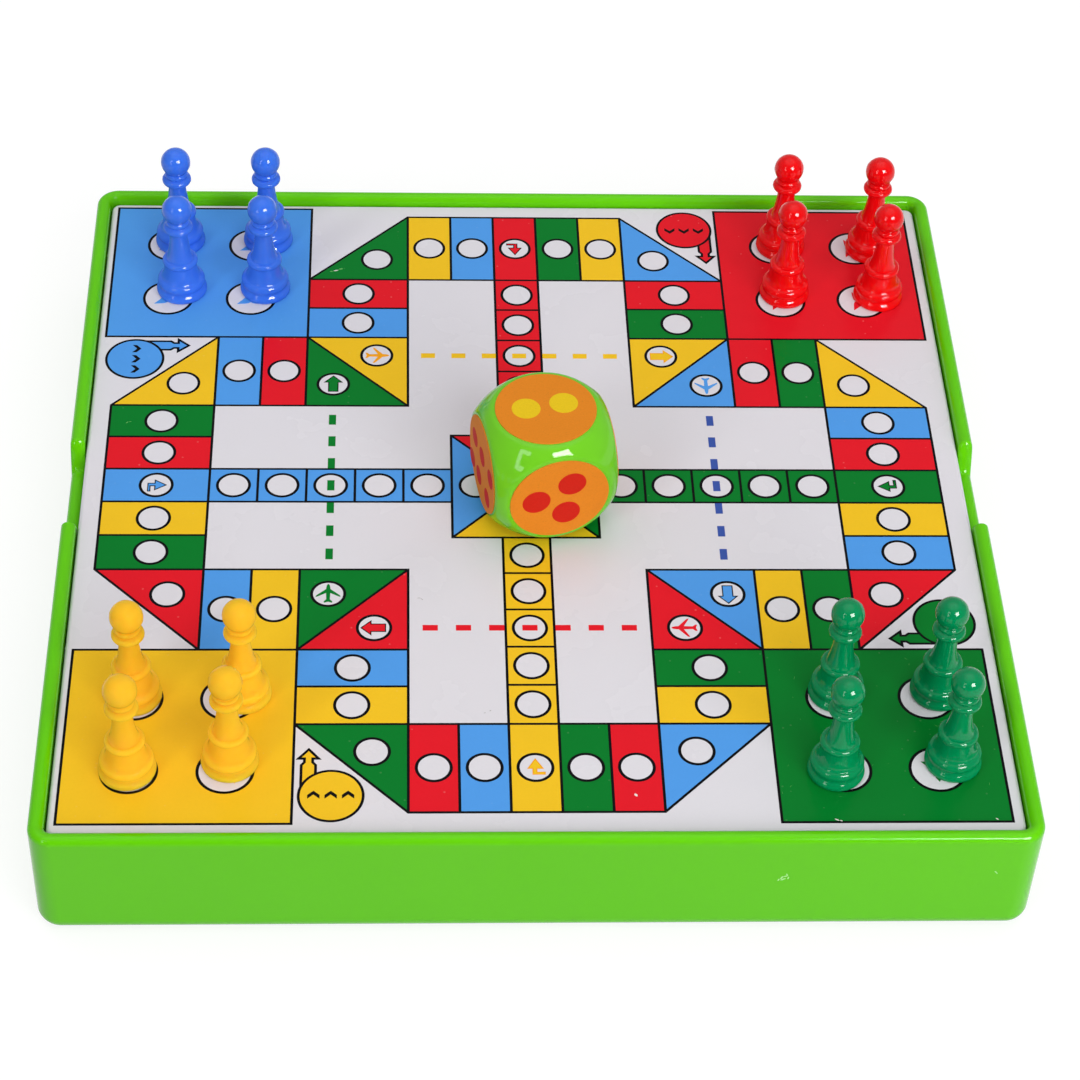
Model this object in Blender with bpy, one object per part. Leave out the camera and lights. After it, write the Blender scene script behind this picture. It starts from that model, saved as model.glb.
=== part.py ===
# A ludo board game in its own case: an open green tray with two finger notches,
# a white board panel that snaps into the tray's mouth, four sets of four turned
# pawns, and a large die with six round face discs.
# Metres, +Z up. The origin is at the middle of the tray's underside.

import math

import bmesh
import bpy
from mathutils import Matrix, Vector

MM = 0.001

# Fits
touch_gap = 0.3 * MM        # between faces that rest on each other
panel_clearance = 0.7 * MM  # between the panel's edge and the tray's wall

# Tray
tray_width = 245.0 * MM
tray_height = 35.6 * MM
tray_corner_radius = 6.0 * MM
tray_bottom_radius = 5.0 * MM
wall_thickness = 3.9 * MM
floor_thickness = 1.6 * MM
floor_fillet = 1.0 * MM
inner_corner_least = 1.2 * MM
panel_sink = 2.5 * MM       # from the rim's top down to the panel's top face

# Finger notches in the left and right walls
notch_width = 27.0 * MM     # at half its depth
notch_depth = 8.0 * MM
notch_ramp = 5.0 * MM       # length over which each end of the notch falls
notch_ramp_steps = 8

# Posts and ribs that carry the panel
post_size = 9.0 * MM
rib_length = 5.0 * MM
rib_thickness = 1.6 * MM
rib_spacing = 84.0 * MM
rib_sink = 1.0 * MM         # how far posts and ribs run into wall and floor

# Board panel
panel_corner_radius = 2.4 * MM
panel_edge_radius = 0.9 * MM
panel_thickness = 2.0 * MM
skirt_depth = 6.0 * MM      # from the top face to the skirt's lower edge
skirt_thickness = 1.8 * MM
nub_reach = 0.4 * MM        # how far a snap nub stands out of the edge
nub_radius = 0.9 * MM
nub_depth = 1.3 * MM        # from the top face down to a nub's middle
nub_back_inset = 21.9 * MM   # from the panel's back edge to the back nubs
nub_front_inset = 60.9 * MM  # from the panel's front edge to the front nubs

# Printed field that the pawns stand on
base_field_inset = 30.5 * MM     # from the panel's edges to a colour field's middle
base_circle_spread = 11.7 * MM   # from a field's middle to its circles, both ways
base_circle_radius = 7.1 * MM
print_shift = (-0.5 * MM, 0.6 * MM)

# Pawn, from the foot up
pawn_foot_radius = 7.1 * MM
pawn_foot_height = 2.4 * MM
pawn_foot_edge = 0.5 * MM
pawn_groove_radius = 6.3 * MM
pawn_step_radius = 6.7 * MM
pawn_step_height = 2.7 * MM
pawn_bell_low_radius = 6.0 * MM
pawn_bell_top_radius = 4.5 * MM
pawn_bell_height = 4.9 * MM
pawn_ring_radius = 4.95 * MM
pawn_ring_bulge = 1.0 * MM
pawn_neck_foot_radius = 3.8 * MM
pawn_neck_low_radius = 3.1 * MM
pawn_neck_high_radius = 2.4 * MM
pawn_neck_height = 9.85 * MM
pawn_collar_radius = 4.1 * MM
pawn_collar_bulge = 1.0 * MM
pawn_bead_radius = 3.3 * MM
pawn_bead_bulge = 0.85 * MM
pawn_bead_place = 24.8 * MM     # height of the small bead's middle
pawn_waist_radius = 2.8 * MM
pawn_head_radius = 4.15 * MM
pawn_head_place = 28.9 * MM      # height of the head's middle
pawn_recess_radius = 4.6 * MM
pawn_recess_depth = 0.8 * MM
pawn_sides = 14

# Each pawn stands a little off the middle of its circle, in shares of that
# circle's radius: back left, back right, front left, front right.
pawn_stray_shares = {
    "blue": ((0.31, 0.25), (0.58, 0.30), (0.52, 0.55), (0.56, 0.59)),
    "red": ((0.28, 0.11), (0.66, -0.04), (0.18, 0.48), (0.68, 0.31)),
    "yellow": ((-0.04, 0.13), (0.49, 0.21), (-0.04, 0.07), (0.15, 0.42)),
    "green": ((0.10, 0.25), (0.44, 0.31), (-0.27, -0.03), (0.56, 0.34)),
}
field_sides = {"blue": (-1, 1), "red": (1, 1), "yellow": (-1, -1), "green": (1, -1)}

# Die
die_width = 33.5 * MM            # over two opposite face discs
die_corner_width = 43.4 * MM     # the ball that rounds the cube's edges and corners
die_place = (4.4 * MM, -5.7 * MM)
die_turn = math.radians(12.6)
disc_radius = 13.2 * MM
disc_thickness = 0.3 * MM
disc_sides = 28

# Heights and half widths that follow from the sizes above
tray_half = tray_width / 2
panel_top = tray_height - panel_sink
panel_half = tray_half - wall_thickness - panel_clearance
die_half = die_width / 2
die_body_half = die_half - disc_thickness - touch_gap
base_field_place = panel_half - base_field_inset


def clear_scene():
    for item in list(bpy.data.objects):
        bpy.data.objects.remove(item, do_unlink=True)


def plain_material(name, colour, roughness):
    material = bpy.data.materials.new(name)
    material.use_nodes = True
    shader = material.node_tree.nodes["Principled BSDF"]
    shader.inputs["Base Color"].default_value = (*colour, 1.0)
    shader.inputs["Roughness"].default_value = roughness
    shader.inputs["Metallic"].default_value = 0.0
    material.diffuse_color = (*colour, 1.0)
    return material


def add_object(name, mesh_data, material, parent=None, place=Matrix.Identity(4)):
    # The place is taken from the parent's own frame
    item = bpy.data.objects.new(name, mesh_data)
    bpy.context.scene.collection.objects.link(item)
    if not mesh_data.materials:
        mesh_data.materials.append(material)
    item.parent = parent
    item.matrix_basis = place
    bpy.context.view_layer.update()
    return item


def smooth(mesh_data, angle):
    mesh_data.shade_smooth()
    mesh_data.set_sharp_from_angle(angle=math.radians(angle))


def arc(middle, radius, start, end, steps):
    # Points (across, up) on an arc, with both ends, angles in degrees from +across
    points = []
    for step in range(steps + 1):
        angle = math.radians(start + (end - start) * step / steps)
        across = middle[0] + radius * math.cos(angle)
        up = middle[1] + radius * math.sin(angle)
        points.append((across, up))
    return points


def rounded_square(half, radius, side_places, corner_steps):
    # One turn round a square with round corners, seen from above, anticlockwise.
    # The right and left sides carry extra points at the given places.
    straight = half - radius
    points = []
    corners = ((1, 1), (-1, 1), (-1, -1), (1, -1))
    for number, (side_x, side_y) in enumerate(corners):
        middle = (side_x * straight, side_y * straight)
        first = 90 * number
        points += arc(middle, radius, first, first + 90, corner_steps)
        if number == 1:
            points += [(-half, place) for place in sorted(side_places, reverse=True)]
        if number == 3:
            points += [(half, place) for place in sorted(side_places)]
    return points


def shell_from_loops(name, loops):
    # Loops run from the underside's middle up the outside and down the inside;
    # the first and the last loop are closed by a flat face.
    shape = bmesh.new()
    rings = [[shape.verts.new(point) for point in loop] for loop in loops]
    count = len(rings[0])
    for low, high in zip(rings, rings[1:]):
        for first in range(count):
            second = (first + 1) % count
            shape.faces.new((low[first], low[second], high[second], high[first]))
    shape.faces.new(reversed(rings[0]))
    shape.faces.new(rings[-1])
    bmesh.ops.recalc_face_normals(shape, faces=shape.faces)
    mesh_data = bpy.data.meshes.new(name)
    shape.to_mesh(mesh_data)
    shape.free()
    return mesh_data


def box_mesh(shape, low, high):
    middle = [(a + b) / 2 for a, b in zip(low, high)]
    size = [b - a for a, b in zip(low, high)]
    matrix = Matrix.Translation(middle) @ Matrix.Diagonal((*size, 1.0))
    bmesh.ops.create_cube(shape, size=1.0, matrix=matrix)


def tool_object(name, shape):
    # A hidden helper solid for a Boolean
    mesh_data = bpy.data.meshes.new(name)
    shape.to_mesh(mesh_data)
    shape.free()
    helper = bpy.data.objects.new(name, mesh_data)
    bpy.context.scene.collection.objects.link(helper)
    helper.hide_render = True
    helper.display_type = "WIRE"
    return helper


def boolean(item, helper, operation):
    modifier = item.modifiers.new(operation.lower(), "BOOLEAN")
    modifier.operation = operation
    modifier.solver = "EXACT"
    modifier.object = helper


def notch_drop(place):
    # How far the rim is lowered at this place along a side wall: an S curve at
    # each end of the notch
    way_in = (notch_width + notch_ramp) / 2 - abs(place)
    share = min(max(way_in / notch_ramp, 0), 1)
    return notch_depth * share * share * (3 - 2 * share)


def notch_places():
    # Where the side walls need points so that the notch's ends come out round
    outer = (notch_width + notch_ramp) / 2
    places = []
    for step in range(notch_ramp_steps + 1):
        place = outer - notch_ramp * step / notch_ramp_steps
        places += [place, -place]
    return places


def tray_mesh():
    places = notch_places()
    rim_radius = wall_thickness / 2
    rim_up = tray_height - rim_radius
    corner_steps = 5

    def loop(half, up, follows_notch=False):
        inset = tray_half - half
        radius = max(tray_corner_radius - inset, inner_corner_least)
        points = rounded_square(half, radius, places, corner_steps)
        if not follows_notch:
            return [(across, along, up) for across, along in points]
        lowered = []
        for across, along in points:
            on_side = abs(abs(across) - half) < rim_radius and abs(along) < notch_width
            drop = notch_drop(along) if on_side else 0
            lowered.append((across, along, up - drop))
        return lowered

    loops = []
    bottom = arc((tray_half - tray_bottom_radius, tray_bottom_radius), tray_bottom_radius, -90, 0, 5)
    loops += [loop(half, up) for half, up in bottom]
    rim = arc((tray_half - rim_radius, rim_up), rim_radius, 0, 180, 8)
    loops += [loop(half, up, True) for half, up in rim]
    inner = tray_half - wall_thickness
    fillet_up = floor_thickness + floor_fillet
    fillet = arc((inner - floor_fillet, fillet_up), floor_fillet, 0, -90, 2)
    loops += [loop(half, up) for half, up in fillet]
    return shell_from_loops("case", loops)


def panel_supports():
    # Four corner posts and eight ribs, all standing on the floor
    shape = bmesh.new()
    top = panel_top - skirt_depth - touch_gap
    low = floor_thickness - rib_sink
    wall = tray_half - wall_thickness
    for side_x in (-1, 1):
        for side_y in (-1, 1):
            near = wall - post_size
            far = wall + rib_sink
            xs = sorted((side_x * near, side_x * far))
            ys = sorted((side_y * near, side_y * far))
            box_mesh(shape, (xs[0], ys[0], low), (xs[1], ys[1], top))
    for side in (-1, 1):
        for middle in (-rib_spacing / 2, rib_spacing / 2):
            across = sorted((side * (wall - rib_length), side * (wall + rib_sink)))
            along = (middle - rib_thickness / 2, middle + rib_thickness / 2)
            box_mesh(shape, (across[0], along[0], low), (across[1], along[1], top))
            box_mesh(shape, (along[0], across[0], low), (along[1], across[1], top))
    return tool_object("case_supports", shape)


def panel_mesh():
    corner_steps = 4

    def loop(half, up):
        inset = panel_half - half
        radius = max(panel_corner_radius - inset, inner_corner_least)
        points = rounded_square(half, radius, (), corner_steps)
        return [(across, along, up) for across, along in points]

    skirt_inside = panel_half - skirt_thickness
    edge = panel_edge_radius
    loops = [
        loop(skirt_inside, -panel_thickness),
        loop(skirt_inside, -skirt_depth),
        loop(panel_half, -skirt_depth),
    ]
    loops += [loop(half, up) for half, up in arc((panel_half - edge, -edge), edge, 0, 90, 3)]
    return shell_from_loops("board_panel", loops)


def panel_nubs():
    shape = bmesh.new()
    for side in (-1, 1):
        for along in (panel_half - nub_back_inset, nub_front_inset - panel_half):
            middle = (side * (panel_half + nub_reach - nub_radius), along, -nub_depth)
            bmesh.ops.create_icosphere(
                shape, subdivisions=2, radius=nub_radius, matrix=Matrix.Translation(middle)
            )
    return tool_object("panel_nubs", shape)


def pawn_outline():
    # Half section of the pawn as (radius, height), from the recess under its
    # foot up to the top of its head
    points = [(0, pawn_recess_depth), (pawn_recess_radius, pawn_recess_depth)]
    points += [(pawn_recess_radius, 0), (pawn_foot_radius - pawn_foot_edge, 0)]
    foot_bulge = pawn_foot_radius - pawn_groove_radius
    foot_middle = pawn_foot_height / 2
    points += [
        (pawn_foot_radius, pawn_foot_edge),
        (pawn_foot_radius, foot_middle),
        (pawn_groove_radius + foot_bulge / 2, pawn_foot_height - pawn_foot_edge),
        (pawn_groove_radius, pawn_foot_height),
    ]
    step_top = pawn_foot_height + pawn_step_height
    points += [
        (pawn_step_radius, pawn_foot_height + pawn_step_height / 3),
        (pawn_step_radius - pawn_foot_edge / 4, step_top - pawn_step_height / 3),
    ]
    # The bell flares gently from under the ring down to the step
    bell_waist = (pawn_bell_low_radius + 2 * pawn_bell_top_radius) / 3
    points += [
        (pawn_bell_low_radius, step_top),
        (bell_waist, step_top + pawn_bell_height / 2),
    ]
    bell_top = step_top + pawn_bell_height
    ring_middle = (pawn_ring_radius - pawn_ring_bulge, bell_top + pawn_ring_bulge)
    points += arc(ring_middle, pawn_ring_bulge, -55, 80, 3)
    # The neck spreads to its own foot on the ring
    neck_low = ring_middle[1] + pawn_ring_bulge
    neck_high = neck_low + pawn_neck_height
    points += [
        (pawn_neck_foot_radius, neck_low),
        (pawn_neck_low_radius, neck_low + pawn_neck_height / 4),
        (pawn_neck_high_radius, neck_high),
    ]
    collar_middle = (pawn_collar_radius - pawn_collar_bulge, neck_high + pawn_collar_bulge)
    points += arc(collar_middle, pawn_collar_bulge, -60, 60, 3)
    bead_middle = (pawn_bead_radius - pawn_bead_bulge, pawn_bead_place)
    points += arc(bead_middle, pawn_bead_bulge, -50, 60, 2)
    lowest = -math.degrees(math.acos(pawn_waist_radius / pawn_head_radius))
    head = arc((0, pawn_head_place), pawn_head_radius, lowest, 90, 5)
    points += head[:-1] + [(0, head[-1][1])]
    return points


def turned_mesh(name, outline, sides):
    # A solid of revolution about Z; the first and last outline points lie on it
    shape = bmesh.new()
    first_pole = shape.verts.new((0, 0, outline[0][1]))
    last_pole = shape.verts.new((0, 0, outline[-1][1]))
    rings = []
    for radius, up in outline[1:-1]:
        ring = []
        for side in range(sides):
            angle = 2 * math.pi * side / sides
            ring.append(shape.verts.new((radius * math.cos(angle), radius * math.sin(angle), up)))
        rings.append(ring)
    for side in range(sides):
        after = (side + 1) % sides
        shape.faces.new((first_pole, rings[0][after], rings[0][side]))
        for low, high in zip(rings, rings[1:]):
            shape.faces.new((low[side], low[after], high[after], high[side]))
        shape.faces.new((last_pole, rings[-1][side], rings[-1][after]))
    bmesh.ops.recalc_face_normals(shape, faces=shape.faces)
    mesh_data = bpy.data.meshes.new(name)
    shape.to_mesh(mesh_data)
    shape.free()
    return mesh_data


def die_cube_mesh():
    shape = bmesh.new()
    bmesh.ops.create_cube(shape, size=2 * die_body_half)
    mesh_data = bpy.data.meshes.new("die_body")
    shape.to_mesh(mesh_data)
    shape.free()
    return mesh_data


def die_ball():
    shape = bmesh.new()
    bmesh.ops.create_icosphere(shape, subdivisions=3, radius=die_corner_width / 2)
    return tool_object("die_ball", shape)


def disc_mesh():
    # A thin round disc, its inner face on z = 0
    outline = [(0, 0), (disc_radius, 0), (disc_radius, disc_thickness), (0, disc_thickness)]
    return turned_mesh("die_disc", outline, disc_sides)


def build_tray():
    green = plain_material("case_green", (0.13, 0.62, 0.02), 0.22)
    tray = add_object("case", tray_mesh(), green)
    helper = panel_supports()
    boolean(tray, helper, "UNION")
    smooth(tray.data, 40)
    return tray


def build_panel(tray):
    white = plain_material("panel_white", (0.72, 0.70, 0.72), 0.3)
    place = Matrix.Translation((0, 0, panel_top))
    panel = add_object("board_panel", panel_mesh(), white, tray, place)
    helper = panel_nubs()
    helper.matrix_world = panel.matrix_world
    boolean(panel, helper, "UNION")
    smooth(panel.data, 40)
    return panel


def build_pawns(panel):
    colours = {
        "blue": (0.04, 0.16, 0.82),
        "red": (0.82, 0.004, 0.008),
        "yellow": (1.0, 0.44, 0.02),
        "green": (0.0, 0.26, 0.09),
    }
    for colour_name, colour in colours.items():
        material = plain_material("pawn_" + colour_name, colour, 0.2)
        mesh_data = turned_mesh("pawn_" + colour_name, pawn_outline(), pawn_sides)
        smooth(mesh_data, 50)
        side_x, side_y = field_sides[colour_name]
        places = [(-1, 1), (1, 1), (-1, -1), (1, -1)]
        strays = pawn_stray_shares[colour_name]
        for number, (way, stray) in enumerate(zip(places, strays), start=1):
            across = side_x * base_field_place + way[0] * base_circle_spread
            along = side_y * base_field_place + way[1] * base_circle_spread
            across += print_shift[0] + stray[0] * base_circle_radius
            along += print_shift[1] + stray[1] * base_circle_radius
            place = Matrix.Translation((across, along, touch_gap))
            add_object(f"pawn_{colour_name}_{number}", mesh_data, material, panel, place)


def build_die(panel):
    green = plain_material("die_green", (0.14, 0.62, 0.03), 0.2)
    orange = plain_material("disc_orange", (0.82, 0.26, 0.03), 0.4)
    across = print_shift[0] + die_place[0]
    along = print_shift[1] + die_place[1]
    place = Matrix.Translation((across, along, touch_gap + die_half))
    place = place @ Matrix.Rotation(die_turn, 4, "Z")
    body = add_object("die_body", die_cube_mesh(), green, panel, place)
    ball = die_ball()
    ball.matrix_world = body.matrix_world
    boolean(body, ball, "INTERSECT")
    smooth(body.data, 30)
    # Opposite faces add up to seven
    faces = {
        "two": (0, 0, 1),
        "five": (0, 0, -1),
        "three": (0, -1, 0),
        "four": (0, 1, 0),
        "six": (-1, 0, 0),
        "one": (1, 0, 0),
    }
    mesh_data = disc_mesh()
    for face_name, way in faces.items():
        normal = Vector(way)
        facing = normal.to_track_quat("Z", "Y").to_matrix().to_4x4()
        place = Matrix.Translation(normal * (die_body_half + touch_gap)) @ facing
        add_object("die_disc_" + face_name, mesh_data, orange, body, place)


def main():
    clear_scene()
    tray = build_tray()
    panel = build_panel(tray)
    build_pawns(panel)
    build_die(panel)


main()
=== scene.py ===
import math
import random

import bmesh
import bpy
from mathutils import Matrix, Vector


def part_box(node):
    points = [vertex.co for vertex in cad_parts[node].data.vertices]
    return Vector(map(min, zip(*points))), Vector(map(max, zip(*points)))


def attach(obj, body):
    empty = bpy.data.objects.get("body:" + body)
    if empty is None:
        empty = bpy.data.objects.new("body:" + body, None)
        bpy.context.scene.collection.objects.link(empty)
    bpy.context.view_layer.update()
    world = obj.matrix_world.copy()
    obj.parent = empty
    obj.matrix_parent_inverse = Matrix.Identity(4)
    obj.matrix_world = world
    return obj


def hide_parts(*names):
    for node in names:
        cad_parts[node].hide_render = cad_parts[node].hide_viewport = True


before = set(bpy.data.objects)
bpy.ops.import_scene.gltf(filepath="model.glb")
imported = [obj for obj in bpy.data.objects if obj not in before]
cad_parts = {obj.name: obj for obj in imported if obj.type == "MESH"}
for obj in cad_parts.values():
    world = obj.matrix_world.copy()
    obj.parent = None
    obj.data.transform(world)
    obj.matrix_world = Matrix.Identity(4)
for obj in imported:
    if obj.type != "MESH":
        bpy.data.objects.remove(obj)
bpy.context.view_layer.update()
mm = 0.001
random.seed(52)
print("frame loaded:", len(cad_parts), "nodes")


camera = {
    "place": (-0.03344, -0.56516, 0.59154),
    "elevation": 45.61,  # degrees down from level
    "azimuth": 3.83,     # turned towards the right edge
    "roll": 2.81,
    "lens": 98.93,
    "sensor": 36.0,
    "nearest": 0.01,
    "farthest": 20,
}


def newObject(name, data):
    item = bpy.data.objects.new(name, data)
    bpy.context.scene.collection.objects.link(item)
    return item


def aimCamera():
    lift, side, roll = (math.radians(camera[key]) for key in ("elevation", "azimuth", "roll"))
    ahead = Vector((math.sin(side) * math.cos(lift), math.cos(side) * math.cos(lift), -math.sin(lift)))
    level = Vector((math.cos(side), -math.sin(side), 0))
    upright = level.cross(ahead)
    right = level * math.cos(roll) + upright * math.sin(roll)
    above = upright * math.cos(roll) - level * math.sin(roll)
    lens = bpy.data.cameras.new("view")
    lens.lens = camera["lens"]
    lens.sensor_width = camera["sensor"]
    lens.clip_start = camera["nearest"]
    lens.clip_end = camera["farthest"]
    item = newObject("view", lens)
    turn = Matrix((right, above, -ahead)).transposed().to_4x4()
    item.matrix_world = Matrix.Translation(camera["place"]) @ turn
    bpy.context.scene.camera = item


aimCamera()


def newNode(tree, kind, inputs=None, **settings):
    node = tree.nodes.new(kind)
    for key, value in settings.items():
        setattr(node, key, value)
    for key, value in (inputs or {}).items():
        if isinstance(value, bpy.types.NodeSocket):
            tree.links.new(value, node.inputs[key])
        else:
            node.inputs[key].default_value = value
    return node


def calculate(tree, operation, first, *others):
    # One value alone, or several taken in turn
    if not others:
        return newNode(tree, "ShaderNodeMath", {0: first}, operation=operation).outputs[0]
    for other in others:
        first = newNode(tree, "ShaderNodeMath", {0: first, 1: other}, operation=operation).outputs[0]
    return first


def product(tree, *values):
    return calculate(tree, "MULTIPLY", *values)


def hexColour(red, green, blue):
    # sRGB steps of 255 to the linear colour that a shader takes
    linear = []
    for step in (red, green, blue):
        share = step / 255
        linear.append(share / 12.92 if share <= 0.04045 else ((share + 0.055) / 1.055) ** 2.4)
    return (*linear, 1.0)


def mouldedPlastic(name, style):
    # Glossy plastic: faint clouds and a fine mottle in the colour, a few flecks,
    # gloss in patches as hands leave it, and a skin that isn't quite flat
    material = bpy.data.materials.new(name)
    material.use_nodes = True
    tree = material.node_tree
    shader = tree.nodes["Principled BSDF"]
    where = newNode(tree, "ShaderNodeTexCoord").outputs["Object"]

    def tinted(factor, first, second):
        return newNode(tree, "ShaderNodeMix", {0: factor, 6: first, 7: second}, data_type="RGBA").outputs[2]

    def shaded(strength):
        return [min(1, part * strength) for part in style["colour"][:3]] + [1.0]

    def noise(kind, detail):
        inputs = {"Vector": where, "Scale": style[kind + "Scale"], "Detail": detail}
        return newNode(tree, "ShaderNodeTexNoise", inputs).outputs["Fac"]

    def uneven(kind, detail, under=None):
        inputs = {"Height": noise(kind, detail), "Strength": 1.0, "Distance": style[kind + "Depth"]}
        if under is not None:
            inputs["Normal"] = under
        return newNode(tree, "ShaderNodeBump", inputs).outputs[0]

    cloud = product(tree, noise("cloud", 3.0), 1 - style["grainShare"])
    grain = product(tree, noise("grain", 1.0), style["grainShare"])
    tint = tinted(calculate(tree, "ADD", cloud, grain), shaded(style["cloudDeep"]), shaded(style["cloudPale"]))

    # Flecks: the few cells of a fine Voronoi whose random value is low
    cells = newNode(tree, "ShaderNodeTexVoronoi", {"Vector": where, "Scale": style["fleckScale"]})
    near = calculate(tree, "LESS_THAN", cells.outputs["Distance"], style["fleckSize"])
    value = newNode(tree, "ShaderNodeSeparateColor", {"Color": cells.outputs["Color"]}).outputs["Red"]
    chosen = calculate(tree, "LESS_THAN", value, style["fleckShare"])
    faint = product(tree, near, chosen, style["fleckStrength"])
    tree.links.new(tinted(faint, tint, style["fleckColour"]), shader.inputs["Base Color"])

    gloss = newNode(tree, "ShaderNodeMapRange", {
        "Value": noise("patch", 4.0), "From Min": 0.3, "From Max": 0.7,
        "To Min": style["glossLow"], "To Max": style["glossHigh"],
    })
    tree.links.new(gloss.outputs[0], shader.inputs["Roughness"])
    tree.links.new(uneven("skin", 2.0, uneven("sink", 1.0)), shader.inputs["Normal"])

    for socket, key in (
        ("IOR", "ior"), ("Specular IOR Level", "specular"), ("Subsurface Weight", "depthWeight"),
        ("Subsurface Radius", "depthRadius"), ("Subsurface Scale", "depthScale"),
    ):
        shader.inputs[socket].default_value = style[key]
    material.diffuse_color = style["colour"]
    return material


plasticStyle = {
    "colour": hexColour(128, 128, 128),
    "cloudScale": 35.0,
    "cloudPale": 1.03,
    "cloudDeep": 0.97,
    "grainScale": 1300.0,
    "grainShare": 0.3,
    "fleckScale": 700.0,
    "fleckSize": 0.3,
    "fleckShare": 0.05,
    "fleckStrength": 0.0,
    "fleckColour": hexColour(235, 235, 228),
    "patchScale": 55.0,
    "glossLow": 0.14,
    "glossHigh": 0.22,
    "skinScale": 900.0,
    "skinDepth": 0.0015 * mm,
    "sinkScale": 40.0,
    "sinkDepth": 0.08 * mm,
    "ior": 1.49,
    "specular": 0.5,
    "depthWeight": 0.0,              # light that passes under the skin
    "depthRadius": (1.0, 1.0, 1.0),
    "depthScale": 1.0 * mm,
}

inkColours = {
    "blue": hexColour(82, 156, 232),
    "red": hexColour(228, 26, 40),
    "yellow": hexColour(242, 194, 36),
    "green": hexColour(4, 122, 42),
    "orange": hexColour(244, 164, 28),
    "indigo": hexColour(60, 86, 166),
    "line": hexColour(11, 11, 15),
}
pawnColours = {
    "blue": hexColour(60, 117, 234),
    "red": hexColour(234, 9, 15),
    "yellow": hexColour(255, 188, 44),
    "green": hexColour(0, 136, 81),
}


def makeMaterials():
    made = {}
    caseLook = dict(plasticStyle, colour=hexColour(98, 202, 7), glossLow=0.08, glossHigh=0.14, specular=0.2)
    panelLook = dict(plasticStyle, colour=hexColour(222, 219, 225), glossLow=0.22, glossHigh=0.3, specular=0.25)
    inkLook = dict(
        plasticStyle, glossLow=0.16, glossHigh=0.24, specular=0.07, cloudScale=120.0, cloudPale=1.05,
        cloudDeep=0.95, grainShare=0.4, fleckScale=520.0, fleckSize=0.15, fleckShare=0.12, fleckStrength=0.03,
    )
    for inkName, colour in inkColours.items():
        flecks = {"red": 0.08, "line": 0.0}.get(inkName, inkLook["fleckStrength"])
        made["ink_" + inkName] = mouldedPlastic(inkName + "Ink", dict(inkLook, colour=colour, fleckStrength=flecks))
    pawnLook = dict(
        plasticStyle, glossLow=0.03, glossHigh=0.06, specular=0.26, sinkScale=150.0, sinkDepth=0.03 * mm,
        depthWeight=0.2, depthRadius=(1.0, 0.8, 0.6), depthScale=1.5 * mm,
    )
    for pawnName, colour in pawnColours.items():
        look = dict(pawnLook, colour=colour)
        if pawnName == "yellow":
            look.update(specular=0.05, depthWeight=1.0, depthRadius=(1.0, 0.7, 0.4), depthScale=5.0 * mm)
        made["pawn_" + pawnName] = mouldedPlastic(pawnName + "PawnPlastic", look)
    dieLook = dict(
        plasticStyle, colour=hexColour(113, 202, 36), glossLow=0.02, glossHigh=0.045, specular=0.27,
        sinkScale=70.0, sinkDepth=0.02 * mm,
    )
    discLook = dict(
        plasticStyle, colour=hexColour(226, 134, 38), glossLow=0.4, glossHigh=0.5, specular=0.03, cloudScale=90.0,
        cloudPale=1.08, cloudDeep=0.9, grainScale=1900.0, grainShare=0.75, fleckScale=1700.0, fleckShare=0.12,
        fleckColour=hexColour(150, 96, 40), fleckStrength=0.16,
    )
    pipLook = dict(discLook, fleckStrength=0.1)
    for key, name, look in (
        ("case", "caseGreenPlastic", caseLook),
        ("panel", "panelWhitePlastic", panelLook),
        ("die", "dieGreenPlastic", dieLook),
        ("disc", "discOrangeFilm", discLook),
        ("pipYellow", "pipYellowInk", dict(pipLook, colour=hexColour(232, 196, 34))),
        ("pipRed", "pipRedInk", dict(pipLook, colour=hexColour(206, 38, 26))),
    ):
        made[key] = mouldedPlastic(name, look)
    for key, look, colour in (
        ("nickPale", inkLook, (236, 228, 224)),
        ("nickGreen", inkLook, (96, 176, 92)),
        ("nickCase", caseLook, (186, 238, 150)),
        ("nickGrey", panelLook, (176, 172, 172)),
    ):
        made[key] = mouldedPlastic(key, dict(look, colour=hexColour(*colour)))
    made["ink_white"] = made["panel"]  # white ground is bare panel
    return made


materials = makeMaterials()
print("materials made:", len(materials))


def addPiece(name, meshData, material):
    meshData.name = name
    meshData.materials.clear()
    meshData.materials.append(material)
    return newObject(name, meshData)


def meshFrom(shape, name):
    meshData = bpy.data.meshes.new(name)
    shape.to_mesh(meshData)
    shape.free()
    return meshData


def arc(middle, radius, start, end, steps):
    # Points (across, up) on an arc with both its ends, angles in degrees
    points = []
    for step in range(steps + 1):
        angle = math.radians(start + (end - start) * step / steps)
        points.append((middle[0] + radius * math.cos(angle), middle[1] + radius * math.sin(angle)))
    return points


def circle(middle, radius, sides):
    return arc(middle, radius, 0, 360 - 360 / sides, sides - 1)


def roundedSquare(half, radius, sidePlaces, cornerSteps):
    straight = half - radius
    points = []
    for number, (sideX, sideY) in enumerate(((1, 1), (-1, 1), (-1, -1), (1, -1))):
        points += arc((sideX * straight, sideY * straight), radius, 90 * number, 90 * number + 90, cornerSteps)
        if number == 1:
            points += [(-half, place) for place in sorted(sidePlaces, reverse=True)]
        if number == 3:
            points += [(half, place) for place in sorted(sidePlaces)]
    return points


def skinLoops(loops):
    # Faces between loops of one length, closed flat at both ends
    shape = bmesh.new()
    rings = [[shape.verts.new(point) for point in loop] for loop in loops]
    for low, high in zip(rings, rings[1:]):
        for first in range(len(low)):
            second = (first + 1) % len(low)
            shape.faces.new((low[first], low[second], high[second], high[first]))
    shape.faces.new(list(reversed(rings[0])))
    shape.faces.new(rings[-1])
    bmesh.ops.recalc_face_normals(shape, faces=shape.faces)
    return shape


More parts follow.
